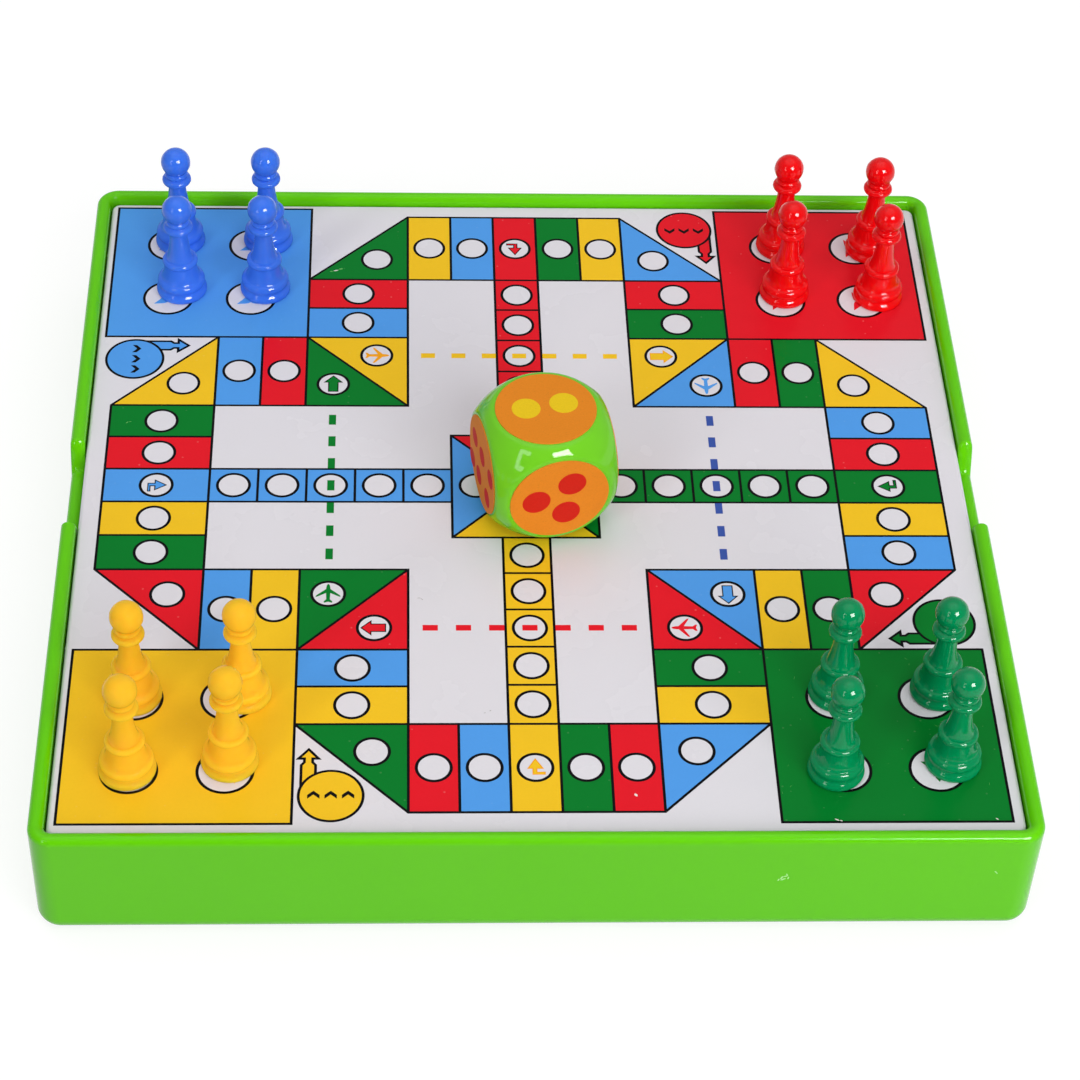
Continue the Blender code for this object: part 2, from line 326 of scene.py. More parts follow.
def addBox(shape, low, high, softness):
    # A box with softened edges
    middle = [(a + b) / 2 for a, b in zip(low, high)]
    size = [b - a for a, b in zip(low, high)]
    place = Matrix.Translation(middle) @ Matrix.Diagonal((*size, 1.0))
    made = bmesh.ops.create_cube(shape, size=1.0, matrix=place)
    edges = {edge for vert in made["verts"] for edge in vert.link_edges}
    bmesh.ops.bevel(shape, geom=list(edges), offset=softness, segments=3, profile=0.5, affect="EDGES")


def finishModifiers(piece):
    # Turns the modified shape into the piece's own plain mesh
    bpy.context.view_layer.update()
    graph = bpy.context.evaluated_depsgraph_get()
    finished = bpy.data.meshes.new_from_object(piece.evaluated_get(graph), depsgraph=graph)
    piece.modifiers.clear()
    piece.data = finished
    finished.name = piece.name


def softShade(piece, angle=35):
    # Smooth shading with flat faces kept flat, and edges over the angle kept sharp
    piece.data.shade_smooth()
    piece.data.set_sharp_from_angle(angle=math.radians(angle))
    weigh = piece.modifiers.new("weigh", "WEIGHTED_NORMAL")
    weigh.mode = "FACE_AREA"
    weigh.weight = 100
    weigh.keep_sharp = True
    finishModifiers(piece)


def joinSolids(piece, shape):
    # Boolean union of the piece with helper solids
    helper = newObject("helper", meshFrom(shape, "helper"))
    union = piece.modifiers.new("union", "BOOLEAN")
    union.operation = "UNION"
    union.solver = "EXACT"
    union.object = helper
    finishModifiers(piece)
    bpy.data.objects.remove(helper, do_unlink=True)


def newTree(name, sockets):
    tree = bpy.data.node_groups.new(name, "GeometryNodeTree")
    tree.is_modifier = True
    tree.interface.new_socket("Geometry", in_out="INPUT", socket_type="NodeSocketGeometry")
    for socketName, kind in sockets.items():
        tree.interface.new_socket(socketName, in_out="INPUT", socket_type="NodeSocket" + kind)
    tree.interface.new_socket("Geometry", in_out="OUTPUT", socket_type="NodeSocketGeometry")
    return tree, newNode(tree, "NodeGroupInput").outputs


def closeTree(tree, shape, material):
    real = newNode(tree, "GeometryNodeRealizeInstances", {"Geometry": shape})
    coated = newNode(tree, "GeometryNodeSetMaterial", {"Geometry": real.outputs[0], "Material": material})
    newNode(tree, "NodeGroupOutput", {"Geometry": coated.outputs[0]})
    return tree


def pointValue(tree, name):
    return newNode(tree, "GeometryNodeInputNamedAttribute", {"Name": name}, data_type="FLOAT").outputs["Attribute"]


def onPoints(tree, points, copy, turn=None, size=None):
    # A copy on each point, turned about the upright axis and sized across
    inputs = {"Points": points, "Instance": copy}
    if turn is not None:
        inputs["Rotation"] = newNode(tree, "ShaderNodeCombineXYZ", {"Z": turn}).outputs[0]
    if size is not None:
        inputs["Scale"] = newNode(tree, "ShaderNodeCombineXYZ", {"X": size, "Y": size, "Z": 1.0}).outputs[0]
    return newNode(tree, "GeometryNodeInstanceOnPoints", inputs).outputs[0]


def growPiece(name, tree, start, inputs):
    piece = newObject(name, start)
    grow = piece.modifiers.new("grow", "NODES")
    grow.node_group = tree
    for item in tree.interface.items_tree:
        if item.item_type == "SOCKET" and item.in_out == "INPUT" and item.name in inputs:
            grow[item.identifier] = inputs[item.name]
    finishModifiers(piece)
    return piece


def turnedTree():
    # Turns an outline (radius in x, height in z) about the upright axis. The
    # columns crowd towards two opposite lines, where the mould's seam stands.
    tree, given = newTree("turned piece", {
        "Columns": "Int", "Seam Height": "Float", "Seam Width": "Float", "Seam From": "Float",
        "Crowding": "Float", "Weld": "Float", "Material": "Material",
    })
    count = newNode(tree, "GeometryNodeAttributeDomainSize", {"Geometry": given["Geometry"]}).outputs["Point Count"]
    around = calculate(tree, "ADD", given["Columns"], 1.0)
    grid = newNode(tree, "GeometryNodeMeshGrid", {"Vertices X": around, "Vertices Y": count})
    index = newNode(tree, "GeometryNodeInputIndex").outputs[0]
    column = calculate(tree, "FLOOR", calculate(tree, "DIVIDE", calculate(tree, "ADD", index, 0.5), count))
    row = calculate(tree, "SUBTRACT", index, product(tree, column, count))
    place = newNode(tree, "GeometryNodeInputPosition").outputs[0]
    inputs = {"Geometry": given["Geometry"], "Value": place, "Index": row}
    sample = newNode(tree, "GeometryNodeSampleIndex", inputs, data_type="FLOAT_VECTOR").outputs["Value"]
    section = newNode(tree, "ShaderNodeSeparateXYZ", {0: sample}).outputs
    even = product(tree, calculate(tree, "DIVIDE", column, given["Columns"]), 2 * math.pi)
    swing = product(tree, calculate(tree, "SINE", product(tree, even, 2.0)), 0.5, given["Crowding"])
    angle = calculate(tree, "SUBTRACT", even, swing)
    sine = calculate(tree, "SINE", angle)
    off = calculate(tree, "DIVIDE", sine, given["Seam Width"])
    fall = calculate(tree, "EXPONENT", product(tree, off, off, -1.0))
    present = calculate(tree, "GREATER_THAN", section["X"], given["Seam From"])
    radius = calculate(tree, "ADD", section["X"], product(tree, fall, given["Seam Height"], present))
    point = newNode(tree, "ShaderNodeCombineXYZ", {
        "X": product(tree, radius, calculate(tree, "COSINE", angle)),
        "Y": product(tree, radius, sine),
        "Z": section["Z"],
    })
    inputs = {"Geometry": grid.outputs["Mesh"], "Position": point.outputs[0]}
    wrapped = newNode(tree, "GeometryNodeSetPosition", inputs).outputs[0]
    closed = newNode(tree, "GeometryNodeMergeByDistance", {"Geometry": wrapped, "Distance": given["Weld"]})
    smooth = newNode(tree, "GeometryNodeSetShadeSmooth", {"Geometry": closed.outputs[0]})
    return closeTree(tree, smooth.outputs[0], given["Material"])


def discTree():
    # A thin round disc on each point, as wide as the point's "reach" says
    tree, given = newTree("discs", {"Sides": "Int", "Height": "Float", "Material": "Material"})
    inputs = {"Vertices": given["Sides"], "Radius": 1.0, "Depth": given["Height"]}
    disc = newNode(tree, "GeometryNodeMeshCylinder", inputs).outputs["Mesh"]
    discs = onPoints(tree, given["Geometry"], disc, size=pointValue(tree, "reach"))
    return closeTree(tree, discs, given["Material"])


def stampTree():
    # A copy of the stamp on each point, turned by its "turn" and sized by its "reach"
    tree, given = newTree("stamps", {"Stamp": "Object", "Material": "Material"})
    stamp = newNode(tree, "GeometryNodeObjectInfo", {"Object": given["Stamp"]}).outputs["Geometry"]
    stamps = onPoints(tree, given["Geometry"], stamp, pointValue(tree, "turn"), pointValue(tree, "reach"))
    return closeTree(tree, stamps, given["Material"])


def rowTree():
    # An even row of flat blocks, centred on each point and turned by its "turn"
    tree, given = newTree("rows", {
        "Count": "Int", "Pitch": "Float", "Length": "Float", "Width": "Float", "Height": "Float",
        "Material": "Material",
    })
    size = newNode(tree, "ShaderNodeCombineXYZ", {"X": given["Length"], "Y": given["Width"], "Z": given["Height"]})
    block = newNode(tree, "GeometryNodeMeshCube", {"Size": size.outputs[0]}).outputs["Mesh"]
    first = product(tree, calculate(tree, "SUBTRACT", given["Count"], 1.0), given["Pitch"], -0.5)
    start = newNode(tree, "ShaderNodeCombineXYZ", {"X": first})
    step = newNode(tree, "ShaderNodeCombineXYZ", {"X": given["Pitch"]})
    line = newNode(tree, "GeometryNodeMeshLine", {
        "Count": given["Count"], "Start Location": start.outputs[0], "Offset": step.outputs[0],
    })
    dashes = onPoints(tree, line.outputs[0], block)
    rows = onPoints(tree, given["Geometry"], dashes, pointValue(tree, "turn"))
    return closeTree(tree, rows, given["Material"])


def pointMesh(name, places, reaches=None, turns=None):
    meshData = bpy.data.meshes.new(name)
    meshData.from_pydata([tuple(place) for place in places], [], [])
    for key, values in (("reach", reaches), ("turn", turns)):
        if values is not None:
            layer = meshData.attributes.new(key, "FLOAT", "POINT")
            layer.data.foreach_set("value", values)
    return meshData


trees = {"turned": turnedTree(), "disc": discTree(), "stamp": stampTree(), "row": rowTree()}
print("trees built:", len(trees))


case = {
    "half": 122.485 * mm,
    "height": 35.6 * mm,
    "cornerRadius": 6.0 * mm,
    "bottomRadius": 5.0 * mm,
    "wall": 3.9 * mm,
    "floor": 1.6 * mm,
    "floorFillet": 1.0 * mm,
    "innerCorner": 1.2 * mm,
    "notchWidth": 27.0 * mm,
    "notchDepth": 8.0 * mm,
    "notchRamp": 5.0 * mm,
    "notchSteps": 20,
    "cornerSteps": 14,
    "rimSteps": 20,
    "bottomSteps": 12,
    "filletSteps": 4,
    "postSize": 9.0 * mm,
    "postTop": 26.8 * mm,
    "ribLength": 5.0 * mm,
    "ribThickness": 1.6 * mm,
    "ribSpacing": 84.0 * mm,
    "sunk": 1.0 * mm,             # how far posts and ribs run into the floor and walls
    "edgeSoftness": 0.3 * mm,
}


def notchDrop(place):
    # An S curve at each end of the notch
    share = ((case["notchWidth"] + case["notchRamp"]) / 2 - abs(place)) / case["notchRamp"]
    share = min(max(share, 0), 1)
    return case["notchDepth"] * share * share * (3 - 2 * share)


def buildCase():
    outer = (case["notchWidth"] + case["notchRamp"]) / 2
    places = []
    for step in range(case["notchSteps"] + 1):
        place = outer - case["notchRamp"] * step / case["notchSteps"]
        places += [place, -place]
    rimRadius = case["wall"] / 2

    def loop(half, up, followsNotch=False):
        radius = max(case["cornerRadius"] - (case["half"] - half), case["innerCorner"])
        lowered = []
        for across, along in roundedSquare(half, radius, places, case["cornerSteps"]):
            onSide = abs(abs(across) - half) < rimRadius and abs(along) < case["notchWidth"]
            lowered.append((across, along, up - (notchDrop(along) if followsNotch and onSide else 0)))
        return lowered

    half, rimUp, inner = case["half"], case["height"] - rimRadius, case["half"] - case["wall"]
    bottom = case["bottomRadius"]
    loops = [loop(*point) for point in arc((half - bottom, bottom), bottom, -90, 0, case["bottomSteps"])]
    loops += [loop(*point, True) for point in arc((half - rimRadius, rimUp), rimRadius, 0, 180, case["rimSteps"])]
    fillet, steps = case["floorFillet"], case["filletSteps"]
    loops += [loop(*point) for point in arc((inner - fillet, case["floor"] + fillet), fillet, 0, -90, steps)]
    piece = addPiece("case_shell", meshFrom(skinLoops(loops), "case_shell"), materials["case"])

    # Posts in the corners and ribs along the walls carry the panel
    shape = bmesh.new()

    def addSupport(across, along):
        low, top = case["floor"] - case["sunk"], case["postTop"]
        addBox(shape, (across[0], along[0], low), (across[1], along[1], top), case["edgeSoftness"])

    near, far = inner - case["postSize"], inner + case["sunk"]
    for sideX in (-1, 1):
        for sideY in (-1, 1):
            addSupport(sorted((sideX * near, sideX * far)), sorted((sideY * near, sideY * far)))
    for side in (-1, 1):
        for middle in (-case["ribSpacing"] / 2, case["ribSpacing"] / 2):
            reach = sorted((side * (inner - case["ribLength"]), side * far))
            thickness = (middle - case["ribThickness"] / 2, middle + case["ribThickness"] / 2)
            addSupport(reach, thickness)
            addSupport(thickness, reach)
    joinSolids(piece, shape)
    softShade(piece)
    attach(piece, "tray")
    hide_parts("case")


buildCase()
print("case built")


panelLow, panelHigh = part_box("board_panel")
panel = {
    "half": panelHigh.y + 0.3 * mm,   # fills the gap to the tray more closely
    "top": panelHigh.z,
    "cornerRadius": 2.4 * mm,
    "edgeRadius": 1.1 * mm,
    "thickness": 2.0 * mm,
    "skirtDepth": panelHigh.z - panelLow.z,
    "skirtThickness": 1.8 * mm,
    "innerCorner": 1.2 * mm,
    "cornerSteps": 10,
    "edgeSteps": 8,
    "nubReach": 0.2 * mm,
    "nubRadius": 0.9 * mm,
    "nubDepth": 1.3 * mm,
    "nubPlaces": (96.0 * mm, -57.0 * mm),
}


def buildPanel():
    half, top = panel["half"], panel["top"]

    def loop(reach, up):
        radius = max(panel["cornerRadius"] - (half - reach), panel["innerCorner"])
        return [(x, y, up) for x, y in roundedSquare(reach, radius, (), panel["cornerSteps"])]

    inside, edge = half - panel["skirtThickness"], panel["edgeRadius"]
    loops = [
        loop(inside, top - panel["thickness"]),
        loop(inside, top - panel["skirtDepth"]),
        loop(half, top - panel["skirtDepth"]),
    ]
    loops += [loop(*point) for point in arc((half - edge, top - edge), edge, 0, 90, panel["edgeSteps"])]
    piece = addPiece("panel_shell", meshFrom(skinLoops(loops), "panel_shell"), materials["panel"])
    shape = bmesh.new()
    nubOut = half + panel["nubReach"] - panel["nubRadius"]
    for side in (-1, 1):
        for along in panel["nubPlaces"]:
            place = Matrix.Translation((side * nubOut, along, top - panel["nubDepth"]))
            bmesh.ops.create_icosphere(shape, subdivisions=3, radius=panel["nubRadius"], matrix=place)
    joinSolids(piece, shape)
    softShade(piece)
    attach(piece, "board")
    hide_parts("board_panel")


buildPanel()
print("panel built")


game = {
    "shift": (-0.5 * mm, 0.6 * mm),   # the print sits a little off the panel's middle
    "cellWidth": 12.45 * mm,
    "cellLength": 28.1 * mm,
    "homePitch": 12.94 * mm,
    "homeCells": 5,
    "fieldHalf": 115.6 * mm,
    "lineWidth": 0.7 * mm,
    "ringWidth": 0.78 * mm,
    "spotRadius": 4.66 * mm,
    "fieldSpotRadius": 7.2 * mm,
    "dartShare": 0.8,                 # size of the marks in the fields
    "outline": 0.065,                 # edge round an arrow, in shares of its spot
    "fieldSpotSpread": 11.7 * mm,
    "startPlace": (-49.9 * mm, -107.0 * mm),
    "startRadius": 8.2 * mm,
    "cornerSpot": 8.9 * mm,           # outer triangles: spot from the right angle, both ways
    "jumpSpotNear": 7.5 * mm,         # split squares: spot from the outer line
    "jumpSpotFar": 8.7 * mm,          # and from the inner line
    "dashCount": 7,
    "dashPitch": 8.5 * mm,
    "dashLength": 3.9 * mm,
    "dashWidth": 1.95 * mm,
    "layer": 0.008 * mm,              # thickness of one layer of ink
    "layers": 7,
    "sides": 56,
    "startSides": 72,
    # The start mark's arrow and one of its chevrons, in mm from the disc's middle
    "startArrow": [
        (-7.35, 0.0), (-7.35, 9.7), (-6.6, 10.6), (-6.6, 11.8), (-8.05, 11.8), (-5.6, 14.7), (-3.15, 11.8),
        (-4.6, 11.8), (-4.6, 10.6), (-3.85, 9.7), (-3.85, 0.0),
    ],
    "chevron": [(-1.5, -0.9), (0, 0.4), (1.5, -0.9), (1.5, 0.3), (0, 1.6), (-1.5, 0.3)],
    "chevronPitch": 4.2,
}
# Round the track, from the middle cell of the front arm and clockwise from above,
# the colours take turns. The homes (front, left, back, right) and the fields
# (from the front left one) come in the same order.
turnColours = ("yellow", "blue", "red", "green")
# The marked cells of each quarter: the mark, and how many quarters it is turned
markedCells = {0: ("hook", 0), 6: ("block", 1), 7: ("plane", 0)}


def quarterTurn(point, quarters):
    x, y = point
    for _ in range(quarters % 4):
        x, y = y, -x
    return (x, y)


def offsetPolygon(points, distance):
    # Moves every side of an anticlockwise polygon outwards by the distance
    count = len(points)
    moved = []
    for number in range(count):
        before, here, after = (Vector(points[(number + step) % count]) for step in (-1, 0, 1))
        first, second = (here - before).normalized(), (after - here).normalized()
        firstOut, secondOut = Vector((first.y, -first.x)), Vector((second.y, -second.x))
        middle = firstOut + secondOut
        middle *= distance / max(middle.dot(firstOut), 0.2)  # sharp tips stay short
        moved.append(tuple(here + middle))
    return moved


def anticlockwise(points):
    area = sum(a[0] * b[1] - b[0] * a[1] for a, b in zip(points, points[1:] + points[:1]))
    return list(points) if area > 0 else list(reversed(points))


def rectangle(x0, x1, y0, y1):
    return [(x0, y0), (x1, y0), (x1, y1), (x0, y1)]


def addPrism(shape, points, low, high):
    points = anticlockwise(points)
    bottom = [shape.verts.new((x, y, low)) for x, y in points]
    top = [shape.verts.new((x, y, high)) for x, y in points]
    shape.faces.new(list(reversed(bottom)))
    shape.faces.new(top)
    for first in range(len(points)):
        second = (first + 1) % len(points)
        shape.faces.new((bottom[first], bottom[second], top[second], top[first]))


def trackCells():
    # The 13 cells of the first quarter: outline and the place of the spot
    w, length = game["cellWidth"], game["cellLength"]
    a0, a1, a2 = w / 2, 1.5 * w, 2.5 * w
    b, c, d = a2 + length, a2 + length + 2 * w, a2 + 2 * length + 2 * w
    arm, corner = (c + d) / 2, game["cornerSpot"]
    near, far = b - game["jumpSpotNear"], a2 + game["jumpSpotFar"]
    cells = [
        (rectangle(-a0, a0, -d, -c), (0, -arm)),
        (rectangle(-a1, -a0, -d, -c), (-w, -arm)),
        (rectangle(-a2, -a1, -d, -c), (-2 * w, -arm)),
        ([(-a2, -c), (-b, -c), (-a2, -d)], (-a2 - corner, -c - corner)),
        (rectangle(-b, -a2, -c, -c + w), (-(a2 + b) / 2, -c + w / 2)),
        (rectangle(-b, -a2, -c + w, -b), (-(a2 + b) / 2, -b - w / 2)),
        ([(-a2, -b), (-a2, -a2), (-b, -b)], (-far, -near)),
        ([(-b, -a2), (-b, -b), (-a2, -a2)], (-near, -far)),
        (rectangle(-b - w, -b, -b, -a2), (-b - w / 2, -(a2 + b) / 2)),
        (rectangle(-c, -b - w, -b, -a2), (-c + w / 2, -(a2 + b) / 2)),
        ([(-c, -a2), (-d, -a2), (-c, -b)], (-c - corner, -a2 - corner)),
        (rectangle(-d, -c, -a2, -a1), (-arm, -2 * w)),
        (rectangle(-d, -c, -a1, -a0), (-arm, -w)),
    ]
    return cells, (a2, b, c, d)


def glyphOutlines():
    # Marks inside the spots, pointing to +Y, in shares of the spot's radius
    hook = [
        (0.0, 0.63), (0.45, -0.1), (0.1, -0.1), (0.1, -0.31), (0.53, -0.3),
        (0.53, -0.5), (-0.17, -0.5), (-0.17, -0.1), (-0.45, -0.1),
    ]
    block = [
        (0.0, 0.76), (0.585, 0.14), (0.31, 0.14), (0.31, -0.66), (-0.31, -0.66), (-0.31, 0.14), (-0.585, 0.14),
    ]

    def mirrored(half):
        return half + [(-x, y) for x, y in reversed(half[1:-1])]

    plane = mirrored([
        (0.0, 0.76), (0.07, 0.68), (0.11, 0.5), (0.12, 0.36), (0.66, -0.12), (0.69, -0.24),
        (0.58, -0.2), (0.12, 0.06), (0.1, -0.42), (0.24, -0.58), (0.22, -0.68), (0.0, -0.6),
    ])
    dart = mirrored([
        (0.0, 0.7), (0.13, 0.48), (0.18, 0.22), (0.42, -0.13), (0.69, -0.44), (0.27, -0.41), (0.12, -0.38),
        (0.0, -0.3),
    ])
    return {"hook": hook, "block": block, "plane": plane, "dart": dart}


def stampPiece(kind, inset, high, points, material):
    shape = bmesh.new()
    addPrism(shape, offsetPolygon(anticlockwise(glyphOutlines()[kind]), -inset), panel["top"], high)
    stamp = newObject("stamp", meshFrom(shape, "stamp"))
    piece = growPiece("marks", trees["stamp"], points, {"Stamp": stamp, "Material": material})
    bpy.data.objects.remove(stamp, do_unlink=True)
    return piece


def joinPieces(name, pieces, material):
    # One mesh from several that share a finish
    shape = bmesh.new()
    for piece in pieces:
        shape.from_mesh(piece.data)
        bpy.data.objects.remove(piece, do_unlink=True)
    return addPiece(name, meshFrom(shape, name), material)


def buildPrint():
    cells, (a2, b, c, d) = trackCells()
    line, layer, top = game["lineWidth"], game["layer"], panel["top"]
    shiftX, shiftY = game["shift"]
    heights = [top + layer * number for number in range(game["layers"] + 1)]
    inks = {name: bmesh.new() for name in ("line", "white", "blue", "red", "yellow", "green")}
    grown = {name: [] for name in (*inks, "orange", "indigo")}
    fieldHalf, small, big = game["fieldHalf"], game["spotRadius"], game["fieldSpotRadius"]
    spots, glyphs = [], []

    def lay(ink, points, quarters, layerNumber, wider=-line / 2):
        turned = anticlockwise([quarterTurn(point, quarters) for point in points])
        placed = [(x + shiftX, y + shiftY) for x, y in offsetPolygon(turned, wider)]
        addPrism(inks[ink], placed, top - layer, heights[layerNumber])

    # Layer 1: one black plate under everything, layer 2: the colours between its lines
    contour = []
    for quarters in range(4):
        corner = [
            (a2, -d), (-a2, -d), (-b, -c), (-b, -fieldHalf), (-fieldHalf, -fieldHalf), (-fieldHalf, -b), (-c, -b),
        ]
        contour += [quarterTurn(point, quarters) for point in corner]
    lay("line", contour, 0, 1, line / 2)
    for quarters in range(4):
        for number, (outline, spot) in enumerate(cells):
            colour = turnColours[(len(cells) * quarters + number) % 4]
            lay(colour, outline, quarters, 2)
            spot = quarterTurn(spot, quarters)
            spots.append((spot, small))
            if number in markedCells:
                kind, quarter = markedCells[number]
                glyphs.append((kind, colour, spot, small, (quarter - quarters) * math.pi / 2))

        # Home column and the centre's triangle
        colour = turnColours[quarters]
        side, pitch = game["cellWidth"] / 2, game["homePitch"]
        for number in range(game["homeCells"]):
            low = -c + number * pitch
            lay(colour, rectangle(-side, side, low, low + pitch), quarters, 2)
            spots.append((quarterTurn((0, low + pitch / 2), quarters), small))
        centre = c - game["homeCells"] * pitch
        lay(colour, [(-centre, -centre), (centre, -centre), (0, 0)], quarters, 2)
        spots.append((quarterTurn((0, -centre + pitch / 2), quarters), small))

        # White ground between the home columns
        ground = [
            (-side, -centre), (-side, -c), (-a2, -c), (-a2, -a2), (-c, -a2), (-c, -side), (-centre, -side),
            (-centre, -centre),
        ]
        lay("white", ground, quarters, 2)

        # Colour field with its four spots
        lay(colour, rectangle(-fieldHalf, -b, -fieldHalf, -b), quarters, 2)
        middle, spread = -(fieldHalf + b) / 2, game["fieldSpotSpread"]
        for sideX in (-1, 1):
            for sideY in (-1, 1):
                spot = quarterTurn((middle + sideX * spread, middle + sideY * spread), quarters)
                spots.append((spot, big))
                glyphs.append(("dart", colour, spot, big * game["dartShare"], (1 - quarters) * math.pi / 2))

        # Start mark: a disc with a banded arrow, and a plain row of chevrons on it
        startX, startY = game["startPlace"]
        arrow = [(startX + x * mm, startY + y * mm) for x, y in game["startArrow"]]
        lay("line", arrow, quarters, 3, line / 2)
        lay(colour, arrow, quarters, 4)
        disc = circle((startX, startY), game["startRadius"], game["startSides"])
        lay("line", disc, quarters, 5, 0)
        lay(colour, disc, quarters, 6, -line)
        for step in (-1, 0, 1):
            moved = step * game["chevronPitch"]
            chevron = [(startX + (x + moved) * mm, startY + y * mm) for x, y in game["chevron"]]
            lay("line", chevron, quarters, 7, 0)

    # Spots, marks and dashes are grown from points
    def lift(place, height):
        return (place[0] + shiftX, place[1] + shiftY, height)

    for ink, layerNumber, inset in (("line", 3, 0), ("white", 4, game["ringWidth"])):
        places = [lift(place, heights[layerNumber] - layer) for place, _ in spots]
        reaches = [radius - inset for _, radius in spots]
        inputs = {"Sides": game["sides"], "Height": 2 * layer, "Material": materials["ink_" + ink]}
        grown[ink].append(growPiece("spots", trees["disc"], pointMesh("spots", places, reaches), inputs))
    for kind in ("hook", "block", "plane", "dart"):
        for colour in turnColours:
            chosen = [entry[2:] for entry in glyphs if entry[:2] == (kind, colour)]
            places, reaches, turns = zip(*chosen)
            points = pointMesh("marks", [lift(place, 0) for place in places], reaches, turns)
            fill = "orange" if colour == "yellow" and kind in ("plane", "dart") else colour
            layers = [(fill, 0, 6)]
            if kind in ("hook", "block"):
                edge = "orange" if colour == "yellow" else "line"
                layers = [(edge, 0, 5), (fill, game["outline"], 6)]
            for ink, inset, layerNumber in layers:
                stamped = stampPiece(kind, inset, heights[layerNumber], points, materials["ink_" + ink])
                grown[ink].append(stamped)
    dashHeight = 5 * layer
    for quarters, colour in enumerate(("red", "green", "yellow", "indigo")):
        place = quarterTurn((0, game["jumpSpotNear"] - b), quarters)
        points = pointMesh("dashes", [lift(place, top + dashHeight / 2)], turns=[-quarters * math.pi / 2])
        inputs = {
            "Count": game["dashCount"], "Pitch": game["dashPitch"], "Length": game["dashLength"],
            "Width": game["dashWidth"], "Height": dashHeight, "Material": materials["ink_" + colour],
        }
        grown[colour].append(growPiece("dashes", trees["row"], points, inputs))

    for ink, parts in grown.items():
        material = materials["ink_" + ink]
        if ink in inks:
            parts.append(addPiece("flat", meshFrom(inks[ink], "flat"), material))
        parts.sort(key=lambda part: part.name)
        piece = joinPieces("print_" + ink, parts, material)
        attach(piece, "board")


buildPrint()
print("print laid")


marks = {
    # Places on the board and on the case's front in mm: across, along (or up), length, width, turn in degrees
    "nickPale": [
        (23.7, -106.4, 1.1, 0.7, 125), (72.1, -114.3, 1.3, 0.35, 150), (73.1, -114.6, 0.7, 0.3, 165),
        (111.2, -114.2, 0.8, 0.3, 140), (-52.3, 88.6, 1.5, 0.4, 12),
    ],
    "nickGreen": [
        (-107.9, 24.8, 0.9, 0.3, 40), (-107.1, 25.1, 0.7, 0.22, 8), (-50.9, 89.3, 1.3, 0.6, 15),
        (-53.6, 88.2, 0.9, 0.4, 5),
    ],
    "nickGrey": [
        (-28.9, -40.7, 1.0, 0.16, 0), (-28.1, -41.1, 0.9, 0.16, -38), (-11.2, -79.2, 0.5, 0.3, 20),
        (-12.6, -79.9, 0.6, 0.15, 10),
    ],
    "nickCase": [
        (59.0, 21.0, 1.5, 0.45, 65), (59.9, 21.6, 1.3, 0.4, 20), (59.4, 20.4, 1.6, 0.45, 30),
        (60.6, 20.9, 1.1, 0.4, 80), (58.3, 20.2, 1.0, 0.4, 70), (60.2, 22.2, 0.9, 0.3, 115),
        (111.2, 22.9, 1.1, 0.4, 128), (111.5, 22.5, 0.8, 0.3, 120),
    ],
    "hairCount": 26,                  # fine scratches over the front right field
    "hairFrom": (58, -106),
    "hairTo": (112, -54),
    "hairLength": (0.3, 1.4),
    "hairWidth": 0.07,
    "hairTurn": (20, 160),
    # How many layers of ink high they stand
    "hairLayers": 2.5,
    "boardLayers": 8,
    "caseLayers": 2,
}


def addStroke(shape, x, y, length, width, turn, low, high):
    # A small spindle-shaped flake, its outline in shares of half its length and width
    spin = Matrix.Rotation(math.radians(turn), 2)
    outline = ((-1, 0), (-0.4, -1), (0.5, -0.8), (1, 0), (0.4, 1), (-0.5, 0.7))
    points = [spin @ Vector((along * length / 2, across * width / 2)) + Vector((x, y)) for along, across in outline]
    addPrism(shape, [(point.x * mm, point.y * mm) for point in points], low, high)


def buildMarks():
    top, layer = panel["top"], game["layer"]
    for kind in ("nickPale", "nickGreen", "nickGrey"):
        shape = bmesh.new()
        for stroke in marks[kind]:
            addStroke(shape, *stroke, top - layer, top + marks["boardLayers"] * layer)
        if kind == "nickGreen":
            for _ in range(marks["hairCount"]):
                x, y = (random.uniform(low, high) for low, high in zip(marks["hairFrom"], marks["hairTo"]))
                length, turn = random.uniform(*marks["hairLength"]), random.uniform(*marks["hairTurn"])
                high = top + marks["hairLayers"] * layer
                addStroke(shape, x, y, length, marks["hairWidth"], turn, top - layer, high)
        piece = addPiece("board_" + kind, meshFrom(shape, kind), materials[kind])
        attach(piece, "board")
    shape = bmesh.new()
    for stroke in marks["nickCase"]:
        addStroke(shape, *stroke, -layer, marks["caseLayers"] * layer)
    meshData = meshFrom(shape, "case_nicks")
    meshData.transform(Matrix.Translation((0, layer - case["half"], 0)) @ Matrix.Rotation(math.pi / 2, 4, "X"))
    piece = addPiece("case_nicks", meshData, materials["nickCase"])
    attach(piece, "tray")


buildMarks()
print("marks of use added")


